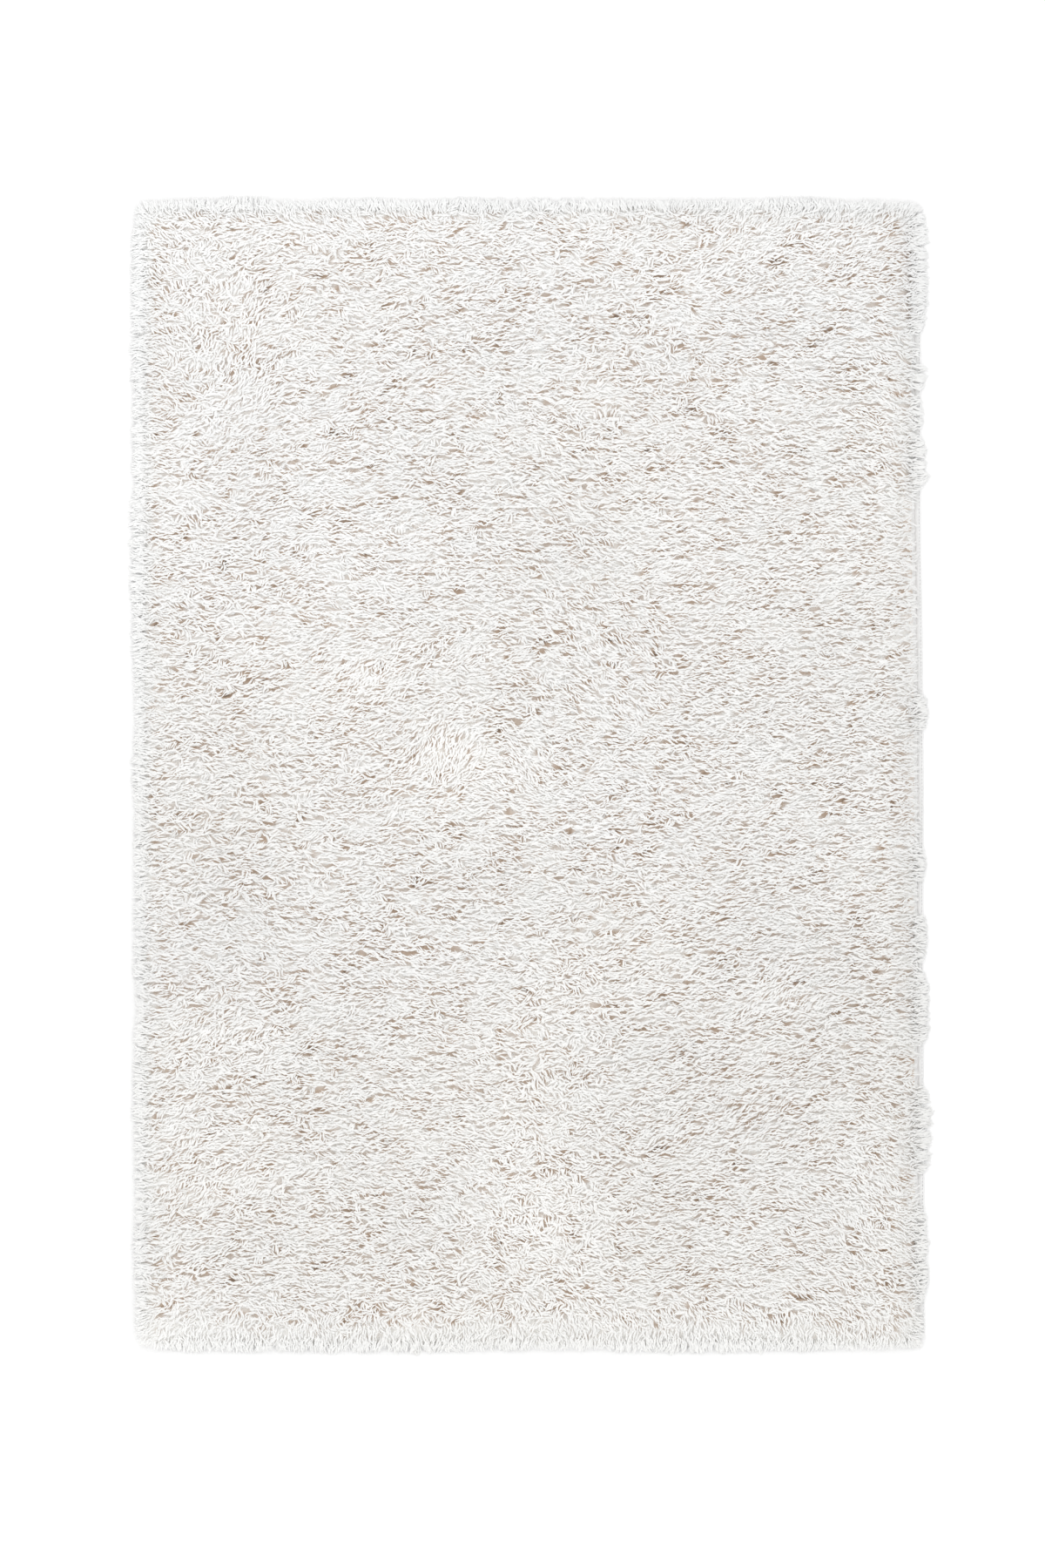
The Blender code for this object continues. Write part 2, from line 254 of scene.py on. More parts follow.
@dataclass(frozen=True)
class RugPlan:
    """Sizes that all the rug's pieces share."""

    width: float = 1.580
    length: float = 2.300
    cloth_thickness: float = 0.0035
    corner: float = 0.018
    binding_width: float = 0.012
    right_stop: float = 0.0135  # how far the pile stops short of the right edge
    pile_top: float = 0.0335
    rim_top: float = 0.021
    rim_fall: float = 0.065  # distance from the rim over which the pile comes down to it
    right_top: float = 0.015  # height of the rim at the right binding
    right_fall: float = 0.045  # distance over which it gets as low as that
    outer_fall: float = 0.0250  # how far past the cloth the pile comes down to the floor
    outer_round: float = 1.35
    row_pitch: float = 0.094
    row_lift: float = 0.0014
    row_sway: float = 1.7  # in radians of a row
    sway_pitch: float = 0.41
    swell_pitch: float = 0.53
    swell_lift: float = 0.0014
    swell_slant: float = 0.6
    lumps: Ripple = Ripple(0.042, 41, 1.4)
    lump_lift: float = 0.0010

    def drifted(self, x: Points, y: Points) -> Points:
        """Moves a straight piece's x by the drift of the right edge, which fades out to the left."""
        return x + (x / self.width + 0.5) * table_at(EDGE_DRIFT, y)

    def from_right(self, x: Points) -> Points:
        """Distance inwards from where the pile stops on the right."""
        return self.width / 2 - self.right_stop - x

    def from_rim(self, x: Points, y: Points) -> Points:
        """Distance inwards from the nearest edge of the pile."""
        sideways = np.minimum(x + self.width / 2, self.from_right(x))
        return np.minimum(sideways, self.length / 2 - np.abs(y))

    def envelope(self, x: Points, y: Points) -> Points:
        """Height of the pile's top: rows that wander, lumps, slow swells and a round fall to the rim.

        The fall takes 2 s - s^2 of the height over the rim, with s the share of rim_fall.

        Args:
            x: Places across the rug.
            y: Places along the rug.

        Returns:
            The heights.
        """
        sway = self.row_sway * np.sin(math.tau * x / self.sway_pitch)
        rows = self.row_lift * np.sin(math.tau * y / self.row_pitch + sway)
        swell = self.swell_lift * np.sin(math.tau * (x + self.swell_slant * y) / self.swell_pitch)
        share = np.clip(self.from_rim(x, y) / self.rim_fall, 0.0, 1.0)
        at_right = ease(1.0 - self.from_right(x) / self.right_fall)
        rim_top = self.rim_top - (self.rim_top - self.right_top) * at_right
        over_rim = self.pile_top + rows + swell - rim_top
        return rim_top + share * (2.0 - share) * over_rim + self.lump_lift * self.lumps.at(x, y)

    def cover(self, x: Points, y: Points) -> Points:
        """The envelope, carried on past the rim: it falls by 1 - (past / outer_fall)^outer_round."""
        past = -np.minimum(self.from_rim(x, y), 0.0)
        return self.envelope(x, y) * (1.0 - np.clip(past / self.outer_fall, 0.0, 1.0) ** self.outer_round)

    def hang(self, x: Points, y: Points) -> Points:
        """How far a place lies out past the cloth's own edge; below 0 on the cloth."""
        return np.maximum(np.abs(x) - self.width / 2, np.abs(y) - self.length / 2)


PLAN = RugPlan()


class Finish:
    """Builds a procedural material on a Principled shader."""

    specular: float = 0.25

    def __init__(self, name: str, roughness: float) -> None:
        """Starts the material with what is the same all over the surface.

        Args:
            name: The material's name.
            roughness: How dull it is, from 0 to 1.
        """
        self.material = bpy.data.materials.new(name)
        self.material.use_nodes = True
        self.nodes, self.links = self.material.node_tree.nodes, self.material.node_tree.links
        self.shader = self.nodes["Principled BSDF"]
        self.shader.inputs["Roughness"].default_value = roughness
        self.shader.inputs["Specular IOR Level"].default_value = self.specular

    def node(self, kind: str, **settings: object) -> bpy.types.Node:
        """Adds a node and sets its own properties.

        Args:
            kind: The node's type.
            settings: Its properties.

        Returns:
            The node.
        """
        made = self.nodes.new(kind)
        for key, value in settings.items():
            setattr(made, key, value)
        return made

    def join(self, source: Socket, target: Socket) -> None:
        """Links two sockets."""
        self.links.new(source, target)


class YarnGroup:
    """The shade of a strand, as a node group that pile and bed share.

    The colour runs from the painted shade of the depth over the root's warm painted shade and a middle one
    to the tip's.  The warmth then tints it, and the tone makes it paler or darker.
    """

    numbers = ("Height", "Tone", "Warmth")
    colours = ("Deep", "Root", "Middle", "Tip", "Tint")
    steps = (("Root", 0.0, 0.10), ("Middle", 0.03, 0.27), ("Tip", 0.35, 0.85))  # heights of each change

    def __init__(self) -> None:
        """Lays the nodes out between the named inputs and the output Colour."""
        self.tree = bpy.data.node_groups.new("yarn_shade", "ShaderNodeTree")
        for kind, names in (("NodeSocketFloat", self.numbers), ("NodeSocketColor", self.colours)):
            for name in names:
                self.tree.interface.new_socket(name, in_out="INPUT", socket_type=kind)
        self.tree.interface.new_socket("Colour", in_out="OUTPUT", socket_type="NodeSocketColor")
        start, end = self.tree.nodes.new("NodeGroupInput"), self.tree.nodes.new("NodeGroupOutput")
        colour = start.outputs["Deep"]
        for name, low, high in self.steps:
            share = self.tree.nodes.new("ShaderNodeMapRange")
            share.interpolation_type = "SMOOTHSTEP"
            share.inputs["From Min"].default_value = low
            share.inputs["From Max"].default_value = high
            self.tree.links.new(start.outputs["Height"], share.inputs["Value"])
            colour = self.mixed(share.outputs["Result"], colour, start.outputs[name])
        colour = self.mixed(start.outputs["Warmth"], colour, start.outputs["Tint"], "MULTIPLY")
        tone = self.tree.nodes.new("ShaderNodeVectorMath")
        tone.operation = "SCALE"
        self.tree.links.new(colour, tone.inputs[0])
        self.tree.links.new(start.outputs["Tone"], tone.inputs["Scale"])
        self.tree.links.new(tone.outputs["Vector"], end.inputs["Colour"])

    def mixed(self, share: Socket, first: Socket, second: Socket, blend: str = "MIX") -> Socket:
        """Blends two colours.

        Args:
            share: How much the second one counts.
            first: A colour.
            second: Another one.
            blend: The way in which they blend.

        Returns:
            The blend.
        """
        made = self.tree.nodes.new("ShaderNodeMix")
        made.data_type, made.blend_type = "RGBA", blend
        for source, name in ((share, "Factor"), (first, "A"), (second, "B")):
            self.tree.links.new(source, made.inputs[name])
        return made.outputs["Result"]


@dataclass(frozen=True)
class YarnFinish:
    """The pile's yarn: ivory at the tips, with painted shade from beige to brown in its depth."""

    # deep and root are painted shade: dark brown deep in the pile and warm beige at the roots
    deep: Colour = (0.15, 0.12, 0.10)
    root: Colour = (0.560, 0.405, 0.290)
    middle: Colour = (0.972, 0.967, 0.952)
    tip: Colour = (0.930, 0.933, 0.929)
    tint: Colour = (0.998, 0.992, 0.980)
    roughness: float = 0.85

    def make(self, name: str, group: YarnGroup) -> bpy.types.Material:
        """Makes the material of a piece whose points carry height, tone and warmth.

        Args:
            name: The material's name.
            group: The shared shade.

        Returns:
            The material.
        """
        finish = Finish(name, self.roughness)
        shade = finish.node("ShaderNodeGroup", node_tree=group.tree)
        for socket in group.colours:
            shade.inputs[socket].default_value = (*getattr(self, socket.lower()), 1.0)
        for socket in group.numbers:
            read = finish.node("ShaderNodeAttribute", attribute_name=socket.lower())
            finish.join(read.outputs["Fac"], shade.inputs[socket])
        finish.join(shade.outputs["Colour"], finish.shader.inputs["Base Color"])
        return finish.material


@dataclass(frozen=True)
class ClothFinish:
    """Plain woven cloth or overlock yarn: a colour with fine ribs in its bump, and painted shade between
    them.
    """

    colour: Colour
    # painted shade, shown between the ribs
    shade: Colour
    ribs_per_metre: float
    roughness: float
    rib_depth: float = 0.0004
    bands: float = 3.18  # how many ribs a Wave Texture draws in a metre at a scale of 1

    def make(self, name: str) -> bpy.types.Material:
        """Makes the material from two crossing sets of fine ribs, multiplied with each other.

        Args:
            name: The material's name.

        Returns:
            The material.
        """
        finish = Finish(name, self.roughness)
        place = finish.node("ShaderNodeTexCoord")
        waves = [finish.node("ShaderNodeTexWave", bands_direction=direction) for direction in ("X", "Y")]
        both = finish.node("ShaderNodeMath", operation="MULTIPLY")
        for wave, socket in zip(waves, both.inputs):
            wave.inputs["Scale"].default_value = self.ribs_per_metre / self.bands
            finish.join(place.outputs["Object"], wave.inputs["Vector"])
            finish.join(wave.outputs["Fac"], socket)
        # painted shade between the ribs, the colour on them
        mix = finish.node("ShaderNodeMix", data_type="RGBA")
        mix.inputs["A"].default_value = (*self.shade, 1.0)
        mix.inputs["B"].default_value = (*self.colour, 1.0)
        finish.join(both.outputs["Value"], mix.inputs["Factor"])
        finish.join(mix.outputs["Result"], finish.shader.inputs["Base Color"])
        bump = finish.node("ShaderNodeBump")
        bump.inputs["Distance"].default_value = self.rib_depth
        finish.join(both.outputs["Value"], bump.inputs["Height"])
        finish.join(bump.outputs["Normal"], finish.shader.inputs["Normal"])
        return finish.material


@dataclass
class Piece:
    """A mesh worked out as arrays: points, triangles, and numbers and a map to go with them.

    sharp_steps is for a mesh that repeats one shape: its number of points, and its sharp edges, each
    as that number times the lower point plus the higher one.
    """

    name: str
    points: Points
    triangles: Triangles
    values: dict[str, Points] = field(default_factory=dict)
    bake_map: Points | None = None
    sharp_steps: tuple[int, list[int]] | None = None

    def build(self, material: bpy.types.Material) -> bpy.types.Object:
        """Puts the arrays into a mesh object at the origin.

        Args:
            material: What it is dressed in.

        Returns:
            The object.
        """
        mesh = bpy.data.meshes.new(self.name)
        count = len(self.triangles)
        mesh.vertices.add(len(self.points))
        mesh.vertices.foreach_set("co", self.points.astype(np.float32).ravel())
        mesh.loops.add(3 * count)
        mesh.loops.foreach_set("vertex_index", self.triangles.astype(np.int32).ravel())
        mesh.polygons.add(count)
        mesh.polygons.foreach_set("loop_start", np.arange(0, 3 * count, 3, dtype=np.int32))
        mesh.polygons.foreach_set("use_smooth", np.ones(count, bool))
        for name, value in self.values.items():
            mesh.attributes.new(name, "FLOAT", "POINT").data.foreach_set("value", value.astype(np.float32))
        if self.bake_map is not None:
            layer = mesh.uv_layers.new(name="OFBake")
            layer.data.foreach_set("uv", self.bake_map.astype(np.float32).ravel())
        mesh.update(calc_edges=True)
        if self.sharp_steps is not None:
            size, steps = self.sharp_steps
            ends = np.empty(2 * len(mesh.edges), np.int32)
            mesh.edges.foreach_get("vertices", ends)
            low, high = np.sort(ends.reshape(-1, 2) % size, axis=1).T
            sharp = np.isin(low * size + high, steps)
            mesh.attributes.new("sharp_edge", "BOOLEAN", "EDGE").data.foreach_set("value", sharp)
        mesh.materials.append(material)
        made = bpy.data.objects.new(self.name, mesh)
        bpy.context.scene.collection.objects.link(made)
        LOG.info("%s: %d points, %d triangles", self.name, len(self.points), count)
        return made


@dataclass(frozen=True)
class Lay:
    """Which way the pile lies, how pale it is and how open, all over the rug."""

    wave: Ripple = Ripple(0.055, 11, 1.6)
    drift: Ripple = Ripple(0.24, 12)
    turns: Pair = (8.0, 6.0)  # degrees by which wave and drift turn it
    least_spread: float = 10.0  # degrees
    lean: Ripple = Ripple(0.30, 13)
    lean_line: Pair = (2.2, 0.1)  # its slope across the rug, and its middle
    tone_wave: Ripple = Ripple(0.17, 14)
    tone_swing: float = 0.014
    tone_line: Trio = (0.008, 0.032, 1.9)  # its middle, and how much it changes over how far
    patch_tone: float = 0.030  # what 1 in the patches' table stands for
    gap_wave: Ripple = Ripple(0.13, 15, 1.5)
    gap_swing: float = 0.18
    row_wander: Ripple = Ripple(0.10, 16, 1.8)
    row_swing: float = 1.6  # how many rows they wander
    row_pitch: float = 0.031  # of the rows in which the pile lies open
    row_share: float = 1.0
    crest_mean: float = 0.3125
    warm_wave: Ripple = Ripple(0.26, 17)
    warm_swing: float = 0.30
    warm_slope: Pair = (0.12, -0.42)  # by x and by y

    def summed(self, column: str, x: Points, y: Points) -> Points:
        """One column of the patches' table, summed by exp(-(dx / wide)^2 - (dy / high)^2) of each.

        Args:
            column: The column's name.
            x: Places across the rug.
            y: Places along the rug.

        Returns:
            A sum for each place.
        """
        rows = np.array(LAY_PATCHES)
        middle_x, middle_y, wide, high = rows[:, :4].T[:, :, None]
        weights = np.exp(-(((x - middle_x) / wide) ** 2) - ((y - middle_y) / high) ** 2)
        return np.tensordot(rows[:, LayPatch._fields.index(column)], weights, axes=1)

    def heading(self, x: Points, y: Points) -> Points:
        """The line along which the pile lies, in degrees from +X."""
        turned = self.turns[0] * self.wave.at(x, y) + self.turns[1] * self.drift.at(x, y)
        return turned + self.summed("heading", x, y)

    def spread(self, x: Points, y: Points) -> Points:
        """How far the locks differ from that line, in degrees."""
        return self.least_spread + self.summed("spread", x, y)

    def tone(self, x: Points, y: Points) -> Points:
        """How pale the pile is: about 1, and a little less towards the bottom right.

        Args:
            x: Places across the rug.
            y: Places along the rug.

        Returns:
            What the colour is multiplied by.
        """
        slope = self.tone_line[0] + self.tone_line[1] * (y - x) / self.tone_line[2]
        swing = self.tone_swing * self.tone_wave.at(x, y)
        return 1.0 + slope + swing + self.patch_tone * self.summed("tone", x, y)

    def warmth(self, x: Points, y: Points) -> Points:
        """How warm the pile's hue is, from 0 at the top to 1 at the bottom."""
        slope = 0.5 + self.warm_slope[1] * y + self.warm_slope[0] * x
        return np.clip(slope + self.warm_swing * self.warm_wave.at(x, y), 0.0, 1.0)

    def gaps(self, x: Points, y: Points) -> Points:
        """How open the pile is: 0 on average."""
        return self.gap_swing * self.gap_wave.at(x, y) + self.summed("gaps", x, y)

    def rows(self, x: Points, y: Points) -> Points:
        """How much more open the pile is on wandering rows than between them: 1 on average."""
        phase = math.tau * (y / self.row_pitch + self.row_swing * self.row_wander.at(x, y))
        return 1.0 + self.row_share * ((0.5 + 0.5 * np.cos(phase)) ** 3 - self.crest_mean)

    def rightward(self, x: Points, y: Points) -> Points:
        """Above 0 where the pile leans to the right."""
        return self.lean.at(x, y) + self.lean_line[0] * x / PLAN.width + self.lean_line[1]


class Rim(NamedTuple):
    """How places lie to the nearest rim, as arrays with one entry for each place."""

    angle: Points  # of the way outwards, in degrees
    sideways: Points  # its cosine
    endways: Points  # its sine
    near: Points  # 0 up to rim_turn from the cloth's edge, 1 at the edge and a little more past it


class Locks(NamedTuple):
    """The locks' own places and ways, as arrays with one entry for each lock."""

    x: Points
    y: Points
    heading: Points
    length: Points
    lift: Points
    curl: Points
    tone: Points
    open: Points
    short: Points
    stop: Points


class Lines(NamedTuple):
    """The strands' middle lines, as arrays with one entry for each strand."""

    centres: Points  # the x, y, z of root, bend and tip
    width: Points
    # random, with painted shade at the rim and painted light at the bottom rim
    tone: Points
    warmth: Points
    calm: Points


def chosen(arrays: Arrays, which: Points) -> Arrays:
    """Takes the same entries out of each array of a named tuple."""
    return type(arrays)(*(values[which] for values in arrays))


@dataclass
class Pile:
    """The deep pile: a lumpy bed, and over it strands of three sides, gathered in locks."""

    lay: Lay = field(default_factory=Lay)
    finish: YarnFinish = YarnFinish()
    sections: int = 5
    rng: np.random.Generator = field(default_factory=lambda: np.random.default_rng(31))
    # The locks.
    lock_across: float = 0.0180
    lock_along: float = 0.0118
    lock_moved: Pair = (0.40, 0.14)  # the most by which one is moved, as a share of each
    lock_round: float = 0.0022  # how much lower a lock's sides lie than its middle
    lock_lengths: Pair = (0.82, 1.18)
    lock_lift: float = 0.0007
    lock_curl: float = 0.12
    lock_tone: float = 0.005
    lock_short: float = 0.38  # how much less of the reach a lock may use
    lock_stop: float = 1.1
    lean_chance: float = 0.30
    open_middle: float = 0.47  # how open the middlemost lock lies
    open_spread: float = 0.56
    open_ends: Pair = (0.06, 2.6)
    even_steps: Pair = (0.7549, 0.5698)  # what a column and a row add to a lock's share
    even_chance: float = 0.12
    even_ends: Pair = (0.004, 0.996)
    # The rim.
    rim_turn: float = 0.060  # distance from the rim over which the locks turn outwards
    low_turn: float = 1.8  # how many times as far it is at the bottom
    most_near: float = 1.4
    turn_spread: float = 16.0  # degrees
    turn_gain: float = 1.1
    turn_late: float = 0.30  # how much less they turn at the top
    turn_chance: float = 0.24
    calm_start: Pair = (0.58, 0.14)  # nearness to the rim, and how much less it is at the bottom
    calm_end: Pair = (1.20, 0.08)  # the same where it is calmest
    calm_most: Trio = (0.84, 0.16, 0.69)  # how calm, and how much less at the bottom and on the right
    ragged: float = 0.0062  # how unevenly its locks stop at the right binding
    overhang: float = 0.018  # how far the pile hangs out past the cloth near the corners
    right_overhang: float = 0.4  # share of that past the right edge
    corner_steep: float = 3.0
    frills: Ripple = Ripple(0.013, 22)
    frill_share: float = 0.10  # of the reach, by which the frills change it on three sides
    tuft_frill: float = 0.26  # share of a tuft that they take away
    wander: Ripple = Ripple(0.045, 23)
    stop_wander: float = 0.0035  # how far the pile's stop at the right wanders
    stop_over: float = 0.0050  # how far the locks go past it
    bottom_rim_painted_light: float = 0.030  # painted light: how much paler the pile is painted at the bottom rim
    rim_painted_shade: Pair = (0.022, 0.018)  # painted shade: how much darker the pile is painted at the rim, and more at the top
    # painted shade: how much darker still at the right rim
    right_rim_painted_shade: float = 0.056
    rim_less_painted_shade: float = 0.5  # how much of the depth's painted shade is gone where the rim is calm
    # The strands.
    strand_pitch: float = 0.00525
    rim_pitch: float = 0.0043  # of the strands that are added at the rim
    rim_band: float = 0.003  # how far inwards from the cloth's edge they go
    corner_band: float = 0.014  # the same for a third set, which fills the corners
    margin: float = 0.03  # how far past the cloth's edge all of them are looked for
    rim_back: float = 0.004  # how far a strand's middle stays back from the pile's outline
    strand_width: float = 0.0033
    strand_widths: Pair = (0.72, 1.22)
    strand_length: float = 0.0195
    strand_lengths: Pair = (0.84, 1.14)
    strand_spread: float = 12.0  # degrees
    strand_lift: float = 0.0006
    strand_curl: float = 0.07
    strand_tone: float = 0.008
    behind: float = 0.42  # share of a strand that lies behind its middle
    bend_ends: Pair = (0.30, 0.70)  # shares of its way between which it bends
    last_middle: float = 0.86  # share of the way; a strand whose middle comes later isn't made
    gather: float = 0.42  # how far a lock's ends are drawn together
    most_gather: float = 0.92
    waist: float = 0.17  # how far its middle is
    most_waist: float = 0.5
    gap_gain: float = 0.9
    gap_ends: Pair = (0.1, 2.0)
    calm_closed: float = 0.30
    right_open: float = 0.5
    inset: Pair = (0.001, 0.016)  # least and span of how far roots lie in from the edge
    slack: Trio = (1.14, 0.50, 1.2)  # most, span and power of how much it may reach
    stop_chance: float = 0.0015
    least_way: float = 0.12
    root_drop: float = 0.0080
    calm_rise: float = 0.45  # share of the drop that is gone where the pile is calm
    tip_drop: float = 0.0030
    drop_chance: float = 0.6
    least_heights: Trio = (0.0050, 0.0016, 0.0006)
    low_layer: Pair = (0.80, 1.3)  # span and power of how low strands hang past the cloth
    low_over: Pair = (0.014, 0.016)  # distance over which bend and tip come to hang
    side_most: float = 1.3
    calm_thin: float = 0.2
    spindle: Trio = (0.50, 0.12, 0.30)  # half width, shoulder and keel
    bend_height: float = 0.70  # share of the strand's height for its painted shade, which is darkest at the root
    # The bed.
    bed_drop: float = 0.0125
    bed_rise: float = 0.0050  # how much nearer to the top it comes at the rim
    bed_inset: float = -0.0030  # how far it stops short of the cloth's edge
    bed_back: float = 0.0055  # how far it stops short of the pile's end on the right
    bed_corner: float = 0.045
    bed_columns: int = 100
    bed_rows: int = 145
    bed_rough: Ripple = Ripple(0.011, 21, 1.8)
    bed_lift: float = 0.0028
    bed_gap: float = 0.001
    bed_edge: float = 0.75  # share of its height that is left at its outermost points
    bed_clear: Pair = (0.0015, 0.0003)  # least height of its top and its base over the cloth
    bed_shade: Trio = (0.17, 0.15, 0.5)  # height for its painted shade: all over, on lumps and at the calm rim
    # height for the painted shade of its base
    base_shade: float = 0.3

    def outward(self, x: Points, y: Points) -> Rim:
        """The direction to the nearest rim, rounded at the corners, and how near the rim is.

        Args:
            x: Places across the rug.
            y: Places along the rug.

        Returns:
            The direction and nearness of each place.
        """
        turn = self.rim_turn
        right = x - (PLAN.width / 2 - PLAN.right_stop - turn)
        left = x - (turn - PLAN.width / 2)
        top, bottom = y - (PLAN.length / 2 - turn), y - (self.low_turn * turn - PLAN.length / 2)
        dx = np.maximum(right, 0) + np.minimum(left, 0)
        dy = np.maximum(top, 0) + np.minimum(bottom, 0) / self.low_turn
        angle = np.degrees(np.arctan2(dy, dx))
        near = np.minimum(np.hypot(dx, dy) / turn, self.most_near)
        return Rim(angle, np.cos(np.radians(angle)), np.sin(np.radians(angle)), near)

    def calm(self, rim: Rim) -> Points:
        """How smoothly the pile lies near the rim: hardly on the right, and from further in at the bottom.

        Args:
            rim: How the places lie to the rim.

        Returns:
            Shares from 0 to 1.
        """
        low, right = np.maximum(-rim.endways, 0.0) ** 2, np.maximum(rim.sideways, 0.0) ** 2
        start = self.calm_start[0] - self.calm_start[1] * low
        end = self.calm_end[0] - self.calm_end[1] * low
        most = self.calm_most[0] - self.calm_most[1] * low - self.calm_most[2] * right
        return ease((rim.near - start) / (end - start)) * most

    def reach(self, side: Side, along: Points) -> Points:
        """How far the pile reaches past the cloth's edge on one side.

        Args:
            side: Which side.
            along: Places along it.

        Returns:
            The reach.  On the right it stops short of the edge but for the tufts, each of which
            swells and ends in a round.
        """
        cut = self.corner_cut(side, along)
        frill = self.frills.at(np.zeros(along.shape), along)
        if side is not Side.RIGHT:
            return table_at(REACH[side], along) * (1.0 + self.frill_share * frill) - cut
        start, end, out = np.array(RIGHT_TUFTS).T[:, :, None]
        share = np.clip(1.0 - np.abs((along - (start + end) / 2) / ((end - start) / 2)) ** 3, 0.0, 1.0)
        stop = self.stop_over - PLAN.right_stop
        wander = self.stop_wander * self.wander.at(np.zeros(along.shape), along)
        swell = ((out - stop) * np.sqrt(share)).max(axis=0)
        return stop + wander + swell * (1.0 - self.tuft_frill * np.maximum(frill, 0.0)) - cut

    def corner_cut(self, side: Side, along: Points) -> Points:
        """How far a side's outline stands back where the corner is round: r - sqrt(r^2 - d^2).

        Args:
            side: Which side.
            along: Places along it.

        Returns:
            The cut, with d the distance past the start of the corner's arc, and a steep fall past r.
        """
        if side in (Side.LEFT, Side.RIGHT):
            before = after = PLAN.length / 2 + self.overhang
        else:
            before = PLAN.width / 2 + self.overhang
            after = PLAN.width / 2 + self.right_overhang * self.overhang
        low, high = CORNER_ROUND[side]
        radius, end = np.where(along < 0, low, high), np.where(along < 0, before, after)
        past = np.maximum(np.abs(along) - (end - radius), 0.0)
        held = np.minimum(past, radius)
        return radius - np.sqrt(radius**2 - held**2) + self.corner_steep * (past - held)

    def openness(self, column: Points, row: Points) -> Points:
        """How open each lock lies, spread so that a very open lock has closed ones round it.

        Each column and each row adds its own step to a share, of which only the part after the point
        counts, with a little chance on top.  The openness is the middle one times
        (share / (1 - share)) ^ open_spread.

        Args:
            column: The locks' columns.
            row: The locks' rows.

        Returns:
            One number for each lock.
        """
        steps = self.even_steps[0] * column + self.even_steps[1] * row
        share = (steps + self.even_chance * self.rng.random(column.shape)).ravel() % 1.0
        share = np.clip(share, *self.even_ends)
        return np.clip(self.open_middle * (share / (1.0 - share)) ** self.open_spread, *self.open_ends)

    def scatter_locks(self) -> tuple[Locks, tuple[int, int]]:
        """Sets the locks in staggered rows, each moved at random, with its own way and shape.

        Returns:
            The locks, and how many rows and columns they stand in.
        """
        rows = int(PLAN.length / self.lock_along) + 3
        columns = int(PLAN.width / self.lock_across) + 4
        j, i = np.meshgrid(np.arange(rows), np.arange(columns), indexing="ij")
        x = (i - columns / 2 + 0.5 * (j % 2)) * self.lock_across
        y = (j - (rows - 1) / 2) * self.lock_along
        wide, high = self.lock_moved
        x = (x + self.rng.uniform(-wide, wide, x.shape) * self.lock_across).ravel()
        y = (y + self.rng.uniform(-high, high, y.shape) * self.lock_along).ravel()
        count = x.size
        heading = self.lay.heading(x, y) + self.rng.normal(0, 1, count) * self.lay.spread(x, y)
        flip = self.lay.rightward(x, y) + self.rng.normal(0, self.lean_chance, count) < 0
        heading = heading + 180.0 * flip
        rim = self.outward(x, y)
        turn = (rim.angle + self.rng.normal(0, self.turn_spread, count) - heading + 180.0) % 360.0 - 180.0
        share = rim.near * self.turn_gain - self.turn_late * np.maximum(rim.endways, 0.0)
        heading = heading + turn * ease(share + self.rng.normal(0, self.turn_chance, count))
        locks = Locks(
            x=x,
            y=y,
            heading=np.radians(heading),
            length=self.strand_length * self.rng.uniform(*self.lock_lengths, count),
            lift=self.lock_lift * self.rng.uniform(-1, 1, count),
            curl=self.rng.normal(0, self.lock_curl, count),
            tone=self.rng.normal(0, self.lock_tone, count),
            open=self.openness(i, j),
            short=self.lock_short * self.rng.random(count) ** 2,
            stop=self.rng.uniform(-self.lock_stop, self.lock_stop, count),
        )
        return locks, (rows, columns)

    def nearest(self, x: Points, y: Points, locks: Locks, net: tuple[int, int]) -> Points:
        """The lock to which each strand belongs: the nearest of those round it.

        Args:
            x: Places across the rug.
            y: Places along the rug.
            locks: The locks.
            net: Their rows and columns.

        Returns:
            The locks' numbers.
        """
        rows, columns = net
        j = np.rint(y / self.lock_along + (rows - 1) / 2).astype(int)
        best, found = np.full(x.size, np.inf), np.zeros(x.size, int)
        for dj in range(-2, 3):
            row = np.clip(j + dj, 0, rows - 1)
            i = np.rint(x / self.lock_across + columns / 2 - 0.5 * (row % 2)).astype(int)
            for di in range(-2, 3):
                number = row * columns + np.clip(i + di, 0, columns - 1)
                away = ((x - locks.x[number]) / self.lock_across) ** 2
                away += ((y - locks.y[number]) / self.lock_along) ** 2
                closer = away < best
                best, found = np.where(closer, away, best), np.where(closer, number, found)
        return found

    def middles(self) -> tuple[Points, Points]:
        """The strands' middles: on a square net, each moved at random within its own cell.

        They cover the cloth as far as the pile goes on it, and what hangs over its edges, where a
        second net makes them denser, and a third one at the corners.

        Returns:
            Their x and their y.
        """
        half_x, half_y = PLAN.width / 2, PLAN.length / 2
        ends_x, ends_y = half_x + self.margin, half_y + self.margin
        sets = []
        for pitch, least_hang, corners in (
            (self.strand_pitch, -1.0, False),
            (self.rim_pitch, -self.rim_band, False),
            (self.rim_pitch, -self.rim_band, True),
        ):
            net = np.meshgrid(np.arange(-ends_x, ends_x, pitch), np.arange(-ends_y, ends_y, pitch))
            x, y = (axis.ravel() + self.rng.uniform(-0.5, 0.5, axis.size) * pitch for axis in net)
            taken = PLAN.hang(x, y) > least_hang
            if corners:
                taken &= (np.abs(x) > half_x - self.corner_band) & (np.abs(y) > half_y - self.corner_band)
            sets.append((x[taken], y[taken]))
        x, y = (np.concatenate(axis) for axis in zip(*sets))
        left, right = -half_x - self.reach(Side.LEFT, y), half_x + self.reach(Side.RIGHT, y)
        low, high = -half_y - self.reach(Side.BOTTOM, x), half_y + self.reach(Side.TOP, x)
        back = self.rim_back
        inside = (x > left + back) & (x < right - back) & (y > low + back) & (y < high - back)
        return x[inside], y[inside]

